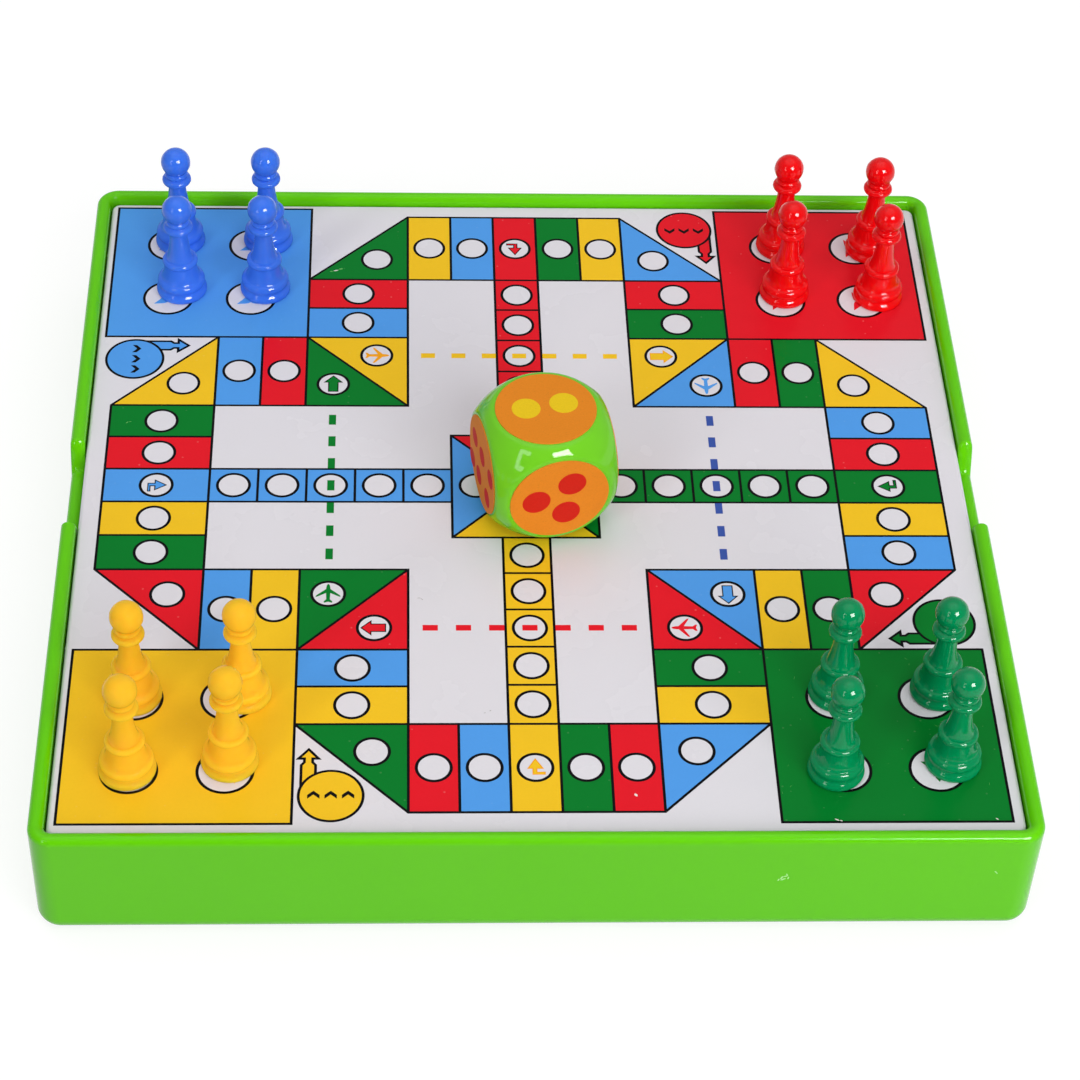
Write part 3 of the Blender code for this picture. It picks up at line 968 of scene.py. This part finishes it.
pawn = {
    # Outline from the foot up: distance from the middle and height, in mm
    "recess": [(0.0, 0.8), (4.3, 0.8), (4.6, 0.5), (4.6, 0.0), (6.3, 0.0)],
    "foot": [(6.6, 0.02), (6.95, 0.16), (7.1, 0.7), (7.06, 1.2), (6.86, 1.65), (6.5, 2.1), (6.32, 2.38)],
    "step": (5.18, 3.92, 1.5, -44, 72),        # middle across and up, radius, first and last angle
    "bell": [(5.58, 5.42), (5.32, 5.8), (5.04, 6.5), (4.8, 7.5), (4.62, 8.7), (4.5, 9.95)],
    "ring": (3.95, 11.0, 1.0, -55, 80),
    "neck": [
        (3.85, 12.02), (3.66, 12.4), (3.42, 13.1), (3.1, 14.5), (2.8, 16.4), (2.56, 18.5), (2.42, 20.5),
        (2.5, 21.75),
    ],
    "collar": (3.1, 22.85, 1.0, -65, 60),
    "bead": (2.45, 24.8, 0.85, -60, 65),
    "headRadius": 4.15,
    "headPlace": 28.9,
    "waistRadius": 2.8,
    "bulgeSteps": 10,
    "headSteps": 24,
    "curveSteps": 3,
    "columns": 120,
    "seamHeight": 0.055 * mm,
    "seamWidth": 0.03,
    "seamFrom": 1.5 * mm,        # no seam nearer to the middle than this
    "crowding": 0.5,
    "weld": 0.002 * mm,
    "sharpFrom": 48,
    "standOff": 0.06 * mm,
    "turn": (-0.5, 0.6),         # how far each one is turned by chance
}


def smoothRun(points, steps):
    # A Catmull-Rom curve through the points, ends included
    run = []
    padded = [points[0]] + list(points) + [points[-1]]
    for first, second, third, fourth in zip(padded, padded[1:], padded[2:], padded[3:]):
        for step in range(steps):
            t = step / steps
            run.append(tuple(
                0.5 * (2 * b + (c - a) * t + (2 * a - 5 * b + 4 * c - d) * t * t + (3 * b - a - 3 * c + d) * t ** 3)
                for a, b, c, d in zip(first, second, third, fourth)
            ))
    return run + [points[-1]]


def pawnOutline():
    def bulge(key):
        across, up, radius, first, last = pawn[key]
        return arc((across, up), radius, first, last, pawn["bulgeSteps"])

    def curve(key):
        return smoothRun(pawn[key], pawn["curveSteps"])

    lowest = -math.degrees(math.acos(pawn["waistRadius"] / pawn["headRadius"]))
    head = arc((0, pawn["headPlace"]), pawn["headRadius"], lowest, 90, pawn["headSteps"])
    head[-1] = (0, head[-1][1])
    run = pawn["recess"] + curve("foot") + bulge("step") + curve("bell") + bulge("ring") + curve("neck")
    run += bulge("collar") + bulge("bead") + head
    return [(across * mm, up * mm) for across, up in run]


def buildPawns():
    outline = pawnOutline()
    start = pointMesh("pawn_outline", [(radius, 0, up) for radius, up in outline])
    inputs = {
        "Columns": pawn["columns"], "Seam Height": pawn["seamHeight"], "Seam Width": pawn["seamWidth"],
        "Seam From": pawn["seamFrom"], "Crowding": pawn["crowding"], "Weld": pawn["weld"],
        "Material": materials["pawn_blue"],
    }
    master = growPiece("pawn_master", trees["turned"], start, inputs)
    shape = bmesh.new()
    shape.from_mesh(master.data)
    bmesh.ops.recalc_face_normals(shape, faces=shape.faces)
    turned = meshFrom(shape, "pawn_turned")
    turned.shade_smooth()
    turned.set_sharp_from_angle(angle=math.radians(pawn["sharpFrom"]))
    bpy.data.objects.remove(master, do_unlink=True)
    for colour in pawnColours:
        for number in (1, 2, 3, 4):
            node = f"pawn_{colour}_{number}"
            middle = sum(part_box(node), Vector()) / 2
            place = Matrix.Translation((middle.x, middle.y, panel["top"] + pawn["standOff"]))
            copy = turned.copy()
            copy.transform(place @ Matrix.Rotation(random.uniform(*pawn["turn"]), 4, "Z"))
            piece = addPiece(f"{colour}_pawn_{number}", copy, materials["pawn_" + colour])
            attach(piece, node)
            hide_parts(node)


buildPawns()
print("pawns turned")


die = {
    "width": 33.5 * mm,          # over two face discs
    "ballRadius": 21.7 * mm,
    "turn": math.radians(12.6),
    "blend": 90,                 # sharpness of the edge between flat and ball
    "grid": 56,
    "discRadius": 13.2 * mm,
    "discThickness": 0.25 * mm,
    "discSunk": 0.15 * mm,
    "discChamfer": 0.1 * mm,
    "discSoftness": 0.08 * mm,
    "discSharpFrom": 40,
    "pipThickness": 0.03 * mm,
    "pipSunk": 0.05 * mm,
    "discSides": 96,
    "pipSides": 48,
    "bigPip": 3.75 * mm,
    "smallPip": 2.7 * mm,        # on the face of six
    # Each face: its way out, the way that counts as up on it, and its pips across
    # and up in shares of the width
    "faces": {
        "two": ((0, 0, 1), (0, 1, 0), [(-0.15, 0.03), (0.15, 0.03)]),
        "five": ((0, 0, -1), (0, -1, 0), [(-0.2, 0.2), (0.2, 0.2), (0.0, 0.0), (-0.2, -0.2), (0.2, -0.2)]),
        "three": ((0, -1, 0), (0, 0, 1), [(-0.185, 0.0), (0.095, 0.14), (0.057, -0.158)]),
        "four": ((0, 1, 0), (0, 0, 1), [(-0.18, 0.18), (0.18, 0.18), (-0.18, -0.18), (0.18, -0.18)]),
        "six": ((-1, 0, 0), (0, 0, 1), [
            (-0.225, 0.085), (0.003, 0.085), (0.262, 0.085), (-0.287, -0.19), (-0.078, -0.19), (0.185, -0.19),
        ]),
        "one": ((1, 0, 0), (0, 0, 1), [(0.0, 0.0)]),
    },
}


def dieBodyShape(flat):
    # A cube's grid pushed out to the flats or the ball, whichever is nearer
    shape = bmesh.new()
    bmesh.ops.create_cube(shape, size=2.0)
    bmesh.ops.subdivide_edges(shape, edges=shape.edges, cuts=die["grid"] - 1, use_grid_fill=True)
    for vert in shape.verts:
        way = Vector([math.tan(part * math.pi / 4) for part in vert.co]).normalized()
        toFlat, power = flat / max(abs(part) for part in way), die["blend"]
        vert.co = way * (toFlat ** -power + die["ballRadius"] ** -power) ** (-1 / power)
    bmesh.ops.recalc_face_normals(shape, faces=shape.faces)
    return shape


def buildDie():
    middle = sum(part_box("die_body"), Vector()) / 2
    place = Matrix.Translation(middle) @ Matrix.Rotation(die["turn"], 4, "Z")
    flat = die["width"] / 2 - die["discThickness"] - die["pipThickness"]
    body = meshFrom(dieBodyShape(flat), "die_shell")
    body.transform(place)
    body.shade_smooth()
    piece = addPiece("die_shell", body, materials["die"])
    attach(piece, "die")
    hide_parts("die_body")

    bottom, top, radius = flat - die["discSunk"], flat + die["discThickness"], die["discRadius"]
    chamfer, soft = die["discChamfer"], die["discSoftness"]
    outline = [(radius - chamfer, bottom), (radius, bottom + chamfer)]
    outline += arc((radius - soft, top - soft), soft, 0, 90, 4)
    loops = [[(x, y, height) for x, y in circle((0, 0), reach, die["discSides"])] for reach, height in outline]
    for face, (out, up, spots) in die["faces"].items():
        out, up = Vector(out), Vector(up)
        facing = place @ Matrix((up.cross(out), up, out)).transposed().to_4x4()
        meshData = meshFrom(skinLoops(loops), "disc")
        meshData.transform(facing)
        disc = addPiece("disc_" + face, meshData, materials["disc"])
        softShade(disc, die["discSharpFrom"])
        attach(disc, "die")
        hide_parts("die_disc_" + face)

        shape = bmesh.new()
        pip = die["smallPip"] if face == "six" else die["bigPip"]
        for x, y in spots:
            ring = circle((x * die["width"], y * die["width"]), pip, die["pipSides"])
            addPrism(shape, ring, top - die["pipSunk"], top + die["pipThickness"])
        meshData = meshFrom(shape, "pips")
        meshData.transform(facing)
        ink = "pipYellow" if face == "two" else "pipRed"
        pips = addPiece("pips_" + face, meshData, materials[ink])
        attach(pips, "die")


buildDie()
print("die built")


stage = {
    "floorHalf": 8.0,
    "floorColour": (0.3, 0.3, 0.3, 1.0),
    "floorRoughness": 0.9,
    "floorLift": 0.76,           # extra white that only the eye and reflections see
    # Sky: dim at its sides, brighter overhead like a softbox dome
    "skyLow": 0.335,
    "skyHigh": 1.25,
    "skyFrom": 0.72,             # height of the direction where it starts to brighten
    "skyTo": 0.98,
    "skyLean": 0.85,             # how much brighter it is behind the board, and dimmer in front
    # Lamps: power, place, size, how far the lamp is set off in its own plane, and what shows of it
    "lamps": {
        "keyLight": (60.0, (1.2, -2.5, 1.75), (2.6, 2.2), (0.0, 0.0), "light"),
        "keyMirror": (150.0, (1.18, -2.03, 1.74), (1.24, 1.1), (0.0, 0.0), "mirror"),
        "stripSide": (13.0, (-1.42, -2.51, 1.7), (0.34, 1.7), (-0.7, 0.0), "both"),
        "stripTop": (6.5, (-1.42, -2.51, 1.7), (0.74, 0.4), (-0.28, 0.7), "both"),
        "stripLow": (6.3, (-1.42, -2.51, 1.7), (0.6, 0.5), (-0.38, -0.7), "both"),
        "fill": (1.2, (0.45, -0.6, 0.15), (0.3, 0.2), (0.0, 0.0), "light"),
    },
}


def buildStage():
    shape = bmesh.new()
    reach = stage["floorHalf"]
    shape.faces.new([shape.verts.new((x, y, 0)) for x, y in rectangle(-reach, reach, -reach, reach)])
    floor = newObject("floor", meshFrom(shape, "floor"))
    material = bpy.data.materials.new("paleFloor")
    material.use_nodes = True
    tree = material.node_tree
    shader = tree.nodes["Principled BSDF"]
    shader.inputs["Base Color"].default_value = stage["floorColour"]
    shader.inputs["Roughness"].default_value = stage["floorRoughness"]
    shader.inputs["Specular IOR Level"].default_value = 0.0
    path = newNode(tree, "ShaderNodeLightPath").outputs
    seen = calculate(tree, "MAXIMUM", path["Is Camera Ray"], path["Is Glossy Ray"], path["Is Transmission Ray"])
    strength = product(tree, seen, stage["floorLift"])
    glow = newNode(tree, "ShaderNodeEmission", {"Color": (1, 1, 1, 1), "Strength": strength})
    total = newNode(tree, "ShaderNodeAddShader", {0: shader.outputs[0], 1: glow.outputs[0]})
    tree.links.new(total.outputs[0], tree.nodes["Material Output"].inputs["Surface"])
    floor.data.materials.append(material)

    world = bpy.data.worlds.new("studio")
    bpy.context.scene.world = world
    world.use_nodes = True
    tree = world.node_tree
    back = tree.nodes["Background"]
    back.inputs["Color"].default_value = (1, 1, 1, 1)
    way = newNode(tree, "ShaderNodeTexCoord").outputs["Generated"]
    toSky = newNode(tree, "ShaderNodeSeparateXYZ", {0: way}).outputs
    sky = newNode(tree, "ShaderNodeMapRange", {
        "Value": toSky["Z"], "From Min": stage["skyFrom"], "From Max": stage["skyTo"],
        "To Min": stage["skyLow"], "To Max": stage["skyHigh"],
    }, interpolation_type="SMOOTHSTEP")
    lean = calculate(tree, "ADD", product(tree, toSky["Y"], stage["skyLean"]), 1.0)
    tree.links.new(product(tree, sky.outputs[0], lean), back.inputs["Strength"])

    for name, (power, place, size, off, shows) in stage["lamps"].items():
        lamp = bpy.data.lights.new(name, "AREA")
        lamp.shape = "RECTANGLE"
        lamp.energy = power
        lamp.size, lamp.size_y = size
        item = newObject(name, lamp)
        facing = Vector(place).to_track_quat("Z", "Y").to_matrix().to_4x4()
        item.matrix_world = Matrix.Translation(place) @ facing @ Matrix.Translation((*off, 0))
        item.visible_camera = False
        item.visible_glossy = shows != "light"
        item.visible_diffuse = shows != "mirror"
    bpy.context.scene.view_settings.view_transform = "Standard"


buildStage()
print("stage lit")
